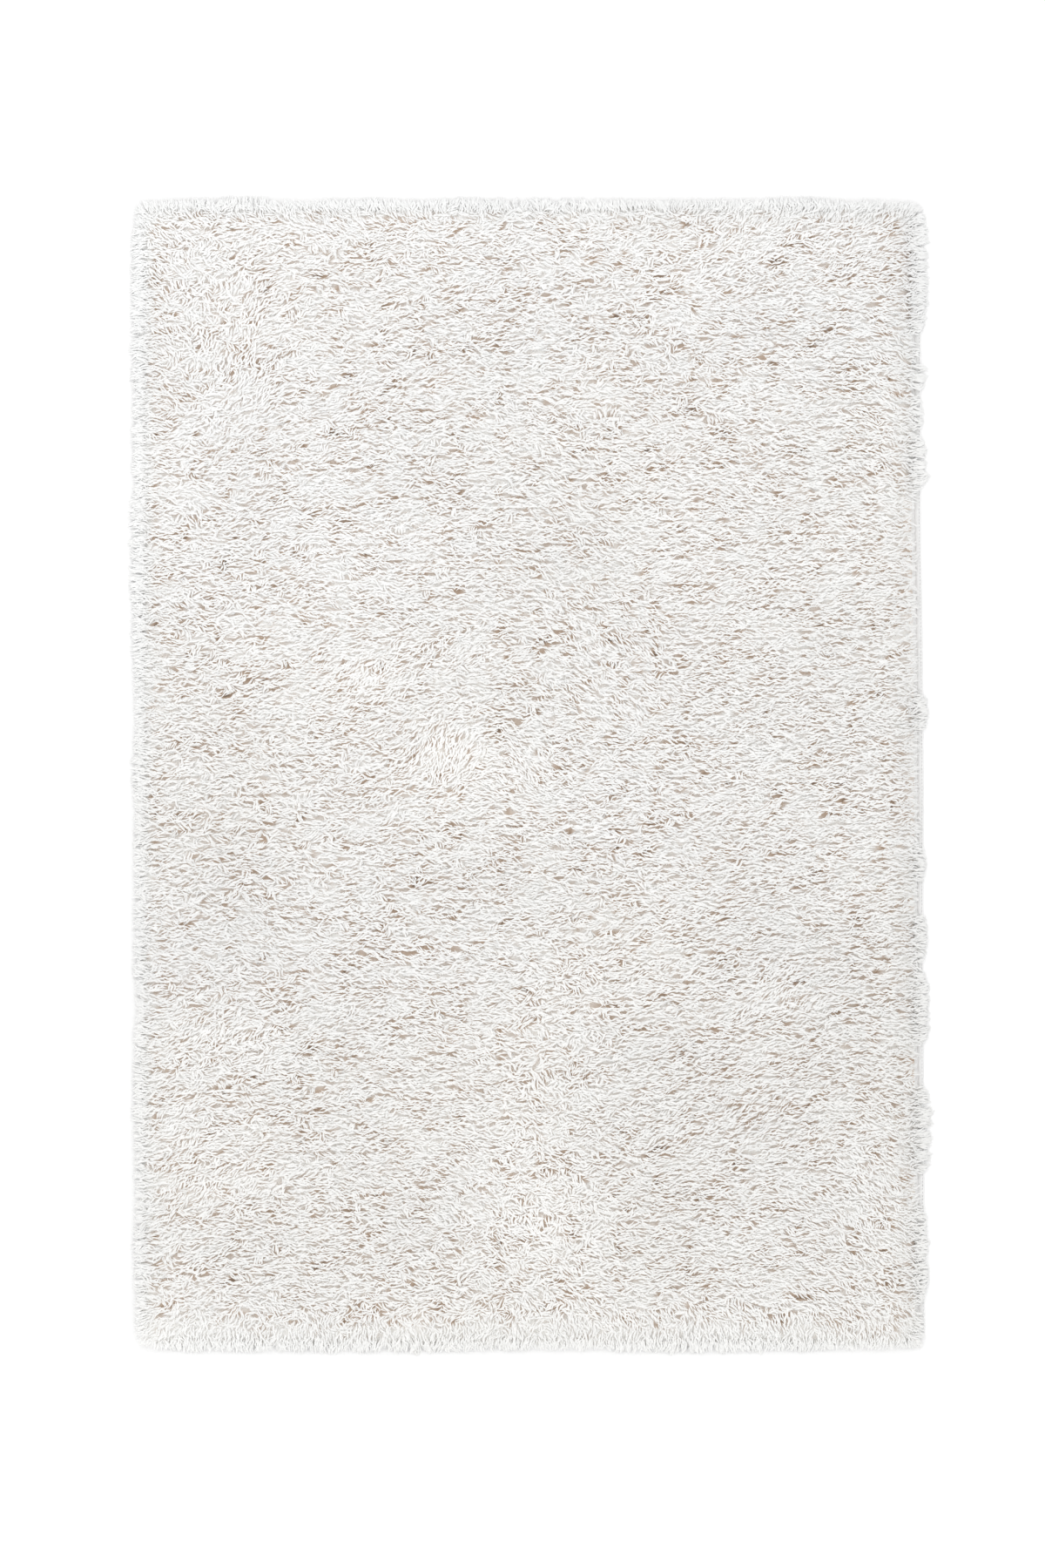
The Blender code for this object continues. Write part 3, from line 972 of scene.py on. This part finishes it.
    def held_in(self, root: Points, tip: Points, slack: Points, stop: Points) -> Points:
        """How much of its way a strand may go before it passes the reach of its side.

        Args:
            root: The roots' x and y, as two rows.
            tip: Where the tips would be.
            slack: Each strand's own share of the reach.
            stop: How much further it goes where the pile stops short of the edge.

        Returns:
            Shares from 0 to 1.
        """
        share = np.ones(slack.size)
        for side, axis, sign, edge in (
            (Side.LEFT, 0, -1, PLAN.width / 2),
            (Side.RIGHT, 0, 1, PLAN.width / 2),
            (Side.BOTTOM, 1, -1, PLAN.length / 2),
            (Side.TOP, 1, 1, PLAN.length / 2),
        ):
            start, end = sign * root[axis], sign * tip[axis]
            reach = self.reach(side, tip[1 - axis])
            limit = edge + np.where(reach > 0, reach * slack, reach + stop)
            allowed = np.clip((limit - start) / np.maximum(end - start, 1e-6), self.least_way, 1.0)
            share = np.where(end > limit, np.minimum(share, allowed), share)
        return share

    def heights(self, bend: Points, lift: Points, calm: Points) -> Points:
        """How high root, bend and tip lie: at the cover, less a drop, and lower where they hang.

        Args:
            bend: x and y, as two rows, of root, bend and tip.
            lift: Each strand's own lift.
            calm: How smoothly it lies.

        Returns:
            One row for the roots, one for the bends and one for the tips.
        """
        root, middle, tip = bend
        low = self.low_layer[0] * self.rng.random(lift.size) ** self.low_layer[1]
        middle_layer = 1.0 - low * ease(PLAN.hang(*middle) / self.low_over[0])
        tip_layer = 1.0 - low * ease(PLAN.hang(*tip) / self.low_over[1])
        droop = self.tip_drop * (1.0 + self.drop_chance * self.rng.uniform(-1, 1, lift.size))
        drop = self.root_drop * (1.0 - self.calm_rise * calm)
        levels = (
            PLAN.cover(*root) + lift - drop,
            middle_layer * (PLAN.cover(*middle) + lift),
            tip_layer * (PLAN.cover(*tip) + lift - droop),
        )
        return np.array([np.maximum(level, least) for level, least in zip(levels, self.least_heights)])

    def lines(self) -> Lines:
        """The strands' middle lines: each rises from its root, bends over and droops to its tip.

        Its lock draws its ends and, less so, its bend towards the lock's own line.

        Returns:
            The lines.
        """
        locks, net = self.scatter_locks()
        x, y = self.middles()
        count = x.size
        lock = chosen(locks, self.nearest(x, y, locks, net))
        rim = self.outward(x, y)
        calm, near = self.calm(rim), np.minimum(rim.near, 1.0)
        facing_right = near * np.maximum(rim.sideways, 0.0)
        heading = lock.heading + np.radians(self.rng.normal(0, self.strand_spread, count))
        length = lock.length * self.rng.uniform(*self.strand_lengths, count)
        way = np.array([np.cos(heading), np.sin(heading)])
        across = np.array([way[1], -way[0]])
        aside = way[0] * (y - lock.y) - way[1] * (x - lock.x)
        opened = np.clip(1.0 + self.gap_gain * self.lay.gaps(x, y), *self.gap_ends)
        opened = opened * (1.0 - self.calm_closed * calm) * lock.open
        opened = opened * (1.0 + self.right_open * facing_right) * self.lay.rows(lock.x, lock.y)
        gathered = np.minimum(self.gather * opened, self.most_gather) * aside
        drawn = np.minimum(self.waist * opened, self.most_waist) * aside

        middle = np.array([x, y])
        inset = self.inset[0] + self.inset[1] * self.rng.random(count)
        end_x, end_y = PLAN.width / 2 - inset, PLAN.length / 2 - inset
        root = middle - self.behind * length * way + gathered * across
        root = np.clip(root, [-end_x, -end_y], [end_x - PLAN.right_stop, end_y])
        go = middle + (1.0 - self.behind) * length * way + gathered * across - root
        slack = self.slack[0] - self.slack[1] * self.rng.random(count) ** self.slack[2] - lock.short
        stop = self.ragged * lock.stop + self.stop_chance * self.rng.uniform(-1, 1, count)
        go = go * self.held_in(root, root + go, slack, stop)
        middle_at = ((middle - root) * go).sum(axis=0) / np.maximum((go**2).sum(axis=0), LEAST)
        bend_at = np.clip(middle_at, *self.bend_ends)
        curl = lock.curl + self.rng.normal(0, self.strand_curl, count)
        bend = root + bend_at * go - curl * np.array([go[1], -go[0]]) + (drawn - gathered) * across
        flat = np.array([root, bend, root + go])

        side = np.clip(aside / (0.5 * self.lock_along), -self.side_most, self.side_most)
        lift = lock.lift + self.strand_lift * self.rng.uniform(-1, 1, count)
        lift -= self.lock_round * opened * side**2
        height = self.heights(flat, lift, calm)
        centres = np.stack([PLAN.drifted(flat[:, 0], flat[:, 1]), flat[:, 1], height]).T
        tone = self.lay.tone(x, y) + lock.tone + self.rng.normal(0, self.strand_tone, count)
        # painted shade at the rim, more at the top and on the right, and painted light at the bottom rim
        tone -= (self.rim_painted_shade[0] + self.rim_painted_shade[1] * rim.endways) * near + self.right_rim_painted_shade * facing_right
        tone += self.bottom_rim_painted_light * near * np.maximum(-rim.endways, 0.0)
        width = self.strand_width * self.rng.uniform(*self.strand_widths, count)
        width = width * (1.0 - self.calm_thin * calm)
        found = Lines(centres, width, tone, self.lay.warmth(x, y), calm)
        return chosen(found, middle_at < self.last_middle)

    def strands(self, name: str, lines: Lines) -> Piece:
        """Draws out a three-sided spindle along each line, with one side up.

        It runs from a point at the root over a ring at the bend to a point at the tip.

        Args:
            name: The piece's name.
            lines: The lines of this piece's strands.

        Returns:
            The piece.
        """
        root, middle, tip = lines.centres.transpose(1, 0, 2)
        size, count = lines.width[:, None], len(lines.width)
        straight = tip - root
        straight /= np.linalg.norm(straight, axis=1, keepdims=True)
        across = np.cross(straight, (0.0, 0.0, 1.0))
        across /= np.maximum(np.linalg.norm(across, axis=1, keepdims=True), LEAST)
        up = np.cross(across, straight)
        half, shoulder, keel = self.spindle
        right = middle + size * (half * across + shoulder * up)
        left = middle + size * (-half * across + shoulder * up)
        points = np.stack([root, right, left, middle - size * keel * up, tip], axis=1)
        one = np.array([(0, 1, 2), (1, 4, 2), (0, 2, 3), (2, 4, 3), (0, 3, 1), (3, 4, 1)])
        triangles = (one[None] + 5 * np.arange(count)[:, None, None]).reshape(-1, 3)
        # painted shade along each strand: darkest at its root, pale from its bend to its tip
        height = np.tile([0.0, *[self.bend_height] * 3, 1.0], (count, 1))
        # less painted shade where the rim is calm
        height = (height + (1.0 - height) * self.rim_less_painted_shade * lines.calm[:, None]).ravel()
        return Piece(
            name,
            points.reshape(-1, 3),
            triangles,
            {"height": height, "tone": np.repeat(lines.tone, 5), "warmth": np.repeat(lines.warmth, 5)},
            self.bake_map(count),
            (5, [1, 2, 3, 5 + 4, 10 + 4, 15 + 4]),
        )

    def bake_map(self, count: int) -> Points:
        """Gives each strand a small cell of a square net, with its three sides next to one another.

        Args:
            count: How many strands there are.

        Returns:
            One u, v pair for each triangle corner.
        """
        cells = math.ceil(math.sqrt(count))
        number = np.arange(count)
        corner = np.stack([number % cells, number // cells], axis=1)[:, None, None]
        back = np.array([(0.5, 0.03), (0.9, 0.46), (0.1, 0.46)])
        front = np.array([(0.9, 0.50), (0.5, 0.96), (0.1, 0.50)])
        third = np.array([1.0 / 3.0, 1.0])
        sides = [[half * third + (side / 3.0, 0.0) for half in (back, front)] for side in range(3)]
        return ((corner + np.concatenate(sides)[None]) / cells).reshape(-1, 2)

    def bed(self) -> Piece:
        """The dense depth of the pile under its locks.

        Its top is the envelope less a drop, with small troughs between rows of locks.  It comes down
        at the rim and is closed by a wall and a fan of faces below.

        Returns:
            The piece.
        """
        across, along = self.bed_columns, self.bed_rows
        left, right = self.bed_inset - PLAN.width / 2, PLAN.width / 2 - PLAN.right_stop - self.bed_back
        half = ((right - left) / 2, PLAN.length / 2 - self.bed_inset)
        x, y = (axis.ravel() for axis in rounded_net(across, along, half, self.bed_corner))
        x = x + (left + right) / 2
        rough, calm = self.bed_rough.at(x, y), self.calm(self.outward(x, y))
        z = PLAN.envelope(x, y) - self.bed_drop + self.bed_rise * calm
        z = z + self.bed_lift * rough - self.bed_gap * self.lay.gaps(x, y)
        edge = np.ones((along, across), bool)
        edge[1:-1, 1:-1] = False
        lowest, base_z = (PLAN.cloth_thickness + clear for clear in self.bed_clear)
        z = np.maximum(np.where(edge.ravel(), self.bed_edge * z, z), lowest)
        top = np.stack([PLAN.drifted(x, y), y, z], axis=1)
        number = np.arange(x.size).reshape(along, across)
        ring = np.concatenate([number[0, :-1], number[:-1, -1], number[-1, :0:-1], number[:0:-1, 0]])
        count = len(ring)
        base = top[ring].copy()
        base[:, 2] = base_z
        low = np.arange(count) + len(top)
        ahead, low_ahead, hub = np.roll(ring, -1), np.roll(low, -1), np.full(count, len(top) + count)
        closing = ((ring, low, low_ahead), (ring, low_ahead, ahead), (low, hub, low_ahead))
        faces = np.concatenate([net_faces(number), *(np.stack(corners, axis=1) for corners in closing)])
        points = np.concatenate([top, base, [(0.0, 0.0, base_z)]])
        # painted shade of the depth on the bed, lighter on lumps and at the calm rim
        start, lumps, paler = self.bed_shade
        height = np.clip(start + lumps * rough + paler * self.rim_less_painted_shade * calm, 0.0, 1.0)
        below = np.ones(count + 1)
        values = {
            "height": np.concatenate([height, self.base_shade * below]),
            "tone": np.concatenate([self.lay.tone(x, y), below]),
            "warmth": np.concatenate([self.lay.warmth(x, y), below]),
        }
        return Piece("pile_bed", points, faces, values)

    def build(self) -> list[bpy.types.Object]:
        """Makes the bed and the strands, and dresses them.

        Returns:
            The pieces.
        """
        material = self.finish.make("pile_yarn", YarnGroup())
        lines = self.lines()
        order = np.argsort(lines.centres[:, 0, 1], kind="stable")
        pieces = [self.bed().build(material)]
        for number, part in enumerate(np.array_split(order, self.sections), start=1):
            pieces.append(self.strands(f"pile_locks_{number}", chosen(lines, part)).build(material))
        for piece in pieces:
            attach(piece, "root")
        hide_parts("pile")
        return pieces


@dataclass
class Binding:
    """The overlocked binding of one long edge: yarn wrapped round it, with a line of stitches."""

    side: Side
    wrap_pitch: float = 0.0032
    wrap_thin: float = 0.88  # its size between two wraps
    wrap_wide: Pair = (0.94, 0.06)  # what all and what the wraps add to its width
    square: Pair = (0.6, 0.8)  # powers that make its oval squarer across and upwards
    steps: int = 10
    height: float = 0.0044
    stitch_pitch: float = 0.0072
    stitch_half: Trio = (0.0005, 0.0026, 0.0005)
    stitch_back: float = 0.0030  # how far the stitches lie in from the outer edge
    finish: ClothFinish = ClothFinish((0.985, 0.985, 0.98), (0.965, 0.965, 0.96), 900.0, 0.85)
    thread: ClothFinish = ClothFinish((0.74, 0.73, 0.72), (0.62, 0.61, 0.60), 900.0, 0.85)

    def sign(self) -> float:
        """1 on the right, and -1 on the left."""
        return 1.0 if self.side is Side.RIGHT else -1.0

    def body(self) -> Piece:
        """An oval section carried along the edge, whose size swells and shrinks with each wrap.

        Returns:
            The piece.
        """
        half = PLAN.length / 2 - PLAN.corner
        rows = int(2 * half / (self.wrap_pitch / 2)) + 1
        turn = np.linspace(0, math.tau, self.steps, endpoint=False) + math.pi / self.steps
        swell = np.where(np.arange(rows) % 2 == 0, 1.0, self.wrap_thin)[:, None]
        wide, high = PLAN.binding_width / 2, self.height / 2
        round_x = np.sign(np.cos(turn)) * np.abs(np.cos(turn)) ** self.square[0]
        round_z = np.sign(np.sin(turn)) * np.abs(np.sin(turn)) ** self.square[1]
        out = wide * (self.wrap_wide[0] + self.wrap_wide[1] * swell) * round_x[None]
        x = self.sign() * (PLAN.width / 2 - wide + out)
        y = np.repeat(np.linspace(-half, half, rows)[:, None], self.steps, axis=1)
        z = high * (1.0 + swell * round_z[None])
        points = np.stack([PLAN.drifted(x, y), y, z], axis=2).reshape(-1, 3)
        number = np.arange(x.size).reshape(x.shape)
        tube = net_faces(np.column_stack([number, number[:, 0]]))[:, [0, 2, 1]]
        fans = [np.stack([np.full(self.steps - 2, r[0]), r[1:-1], r[2:]], axis=1) for r in number[[0, -1]]]
        faces = np.concatenate([tube, fans[0], fans[1][:, ::-1]])
        if self.side is Side.LEFT:
            faces = faces[:, ::-1]
        return Piece(f"binding_wrap_{self.side.value}", points, faces)

    def stitches(self) -> Piece:
        """A row of short threads with pointed ends, each of eight sides, along the top of the wrap.

        Returns:
            The piece.
        """
        half = PLAN.length / 2 - PLAN.corner - self.stitch_pitch
        y = np.arange(-half, half, self.stitch_pitch)
        x = PLAN.drifted(np.full(y.size, self.sign() * (PLAN.width / 2 - self.stitch_back)), y)
        middle = np.column_stack([x, y, np.full(y.size, self.height)])
        wide, long, high = self.stitch_half
        shape = [(0, -long, 0), (wide, 0, 0), (0, 0, high), (-wide, 0, 0), (0, 0, -high), (0, long, 0)]
        points = (middle[:, None] + np.array(shape)[None]).reshape(-1, 3)
        near, far = [(0, 1, 2), (0, 2, 3), (0, 3, 4), (0, 4, 1)], [(5, 2, 1), (5, 3, 2), (5, 4, 3), (5, 1, 4)]
        triangles = (np.array(near + far)[None] + 6 * np.arange(y.size)[:, None, None]).reshape(-1, 3)
        return Piece(f"binding_stitches_{self.side.value}", points, triangles)

    def build(self) -> list[bpy.types.Object]:
        """Makes the binding and its stitches and dresses them.

        Returns:
            The pieces.
        """
        name = self.side.value
        wrap = self.body().build(self.finish.make(f"binding_yarn_{name}"))
        stitches = self.stitches().build(self.thread.make(f"binding_thread_{name}"))
        for piece in (wrap, stitches):
            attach(piece, "root")
        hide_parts(f"binding_{name}")
        return [wrap, stitches]


@dataclass
class GroundCloth:
    """The woven cloth that carries the pile."""

    columns: int = 40
    rows: int = 58
    inset: float = 0.003  # how far it stops short of the bindings' outer edges
    thinner: float = 0.0005  # than the rug's plan says
    finish: ClothFinish = ClothFinish((0.93, 0.925, 0.915), (0.86, 0.855, 0.845), 320.0, 0.95)

    def build(self) -> bpy.types.Object:
        """Makes a flat net with round corners, and gives it its thickness with a Solidify.

        Returns:
            The piece.
        """
        half = (PLAN.width / 2 - self.inset, PLAN.length / 2)
        x, y = rounded_net(self.columns, self.rows, half, PLAN.corner)
        points = np.stack([PLAN.drifted(x, y), y, np.zeros(x.shape)], axis=2).reshape(-1, 3)
        faces = net_faces(np.arange(x.size).reshape(x.shape))
        made = Piece("ground_cloth", points, faces).build(self.finish.make("ground_cloth"))
        thick = made.modifiers.new("thickness", "SOLIDIFY")
        thick.thickness = PLAN.cloth_thickness - self.thinner
        thick.offset = 1.0
        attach(made, "root")
        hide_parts("backing")
        return made


@dataclass
class Studio:
    """A plain pale floor, soft light from above and a camera that looks straight down."""

    picture_height: float = 3.1734  # metres of floor that the picture's long side shows
    centre: Pair = (-0.0194, -0.0176)
    camera_height: float = 14.0
    camera_sight: float = 100.0
    sensor: float = 36.0
    floor_half: float = 9.0
    floor_drop: float = 0.0004
    floor_colour: Colour = (0.97, 0.97, 0.97)
    surround: float = 1.06
    lamp_size: float = 4.0
    lamp_power: float = 26.0
    lamp_place: Trio = (-1.2, 1.6, 5.0)
    lamp_tilt: Pair = (-17.7, -13.5)  # degrees about X and Y

    def floor(self) -> None:
        """A large pale sheet under the rug."""
        half = self.floor_half
        points = np.array([(-half, -half, 0), (half, -half, 0), (half, half, 0), (-half, half, 0)])
        finish = Finish("floor", 0.9)
        finish.shader.inputs["Base Color"].default_value = (*self.floor_colour, 1.0)
        made = Piece("floor", points, np.array([(0, 1, 2), (0, 2, 3)])).build(finish.material)
        made.location.z = -self.floor_drop

    def lights(self) -> None:
        """One broad light above, a little to the upper left, and an even white surround."""
        world = bpy.data.worlds.new("surround")
        world.use_nodes = True
        background = world.node_tree.nodes["Background"]
        background.inputs["Color"].default_value = (1.0, 1.0, 1.0, 1.0)
        background.inputs["Strength"].default_value = self.surround
        bpy.context.scene.world = world
        data = bpy.data.lights.new("softbox", "AREA")
        data.shape = "RECTANGLE"
        data.size = data.size_y = self.lamp_size
        data.energy = self.lamp_power
        lamp = bpy.data.objects.new("softbox", data)
        lamp.location = self.lamp_place
        lamp.rotation_euler = (*(math.radians(angle) for angle in self.lamp_tilt), 0.0)
        bpy.context.scene.collection.objects.link(lamp)

    def camera(self) -> None:
        """A long lens straight above, with the picture's top towards +Y."""
        data = bpy.data.cameras.new("camera")
        data.sensor_width = self.sensor
        data.lens = self.sensor * self.camera_height / self.picture_height
        data.clip_end = self.camera_sight
        camera = bpy.data.objects.new("camera", data)
        camera.location = (*self.centre, self.camera_height)
        bpy.context.scene.collection.objects.link(camera)
        bpy.context.scene.camera = camera

    def build(self) -> None:
        """Sets up floor, lights and camera, with colours shown as they are."""
        bpy.context.scene.view_settings.view_transform = "Standard"
        self.floor()
        self.lights()
        self.camera()


def main() -> None:
    """Builds the rug piece by piece, then the studio."""
    logging.basicConfig(level=logging.INFO, format="%(name)s: %(message)s")
    cloth = GroundCloth().build()
    bindings = [piece for side in (Side.LEFT, Side.RIGHT) for piece in Binding(side).build()]
    pile = Pile().build()
    Studio().build()


if __name__ == "__main__":
    main()
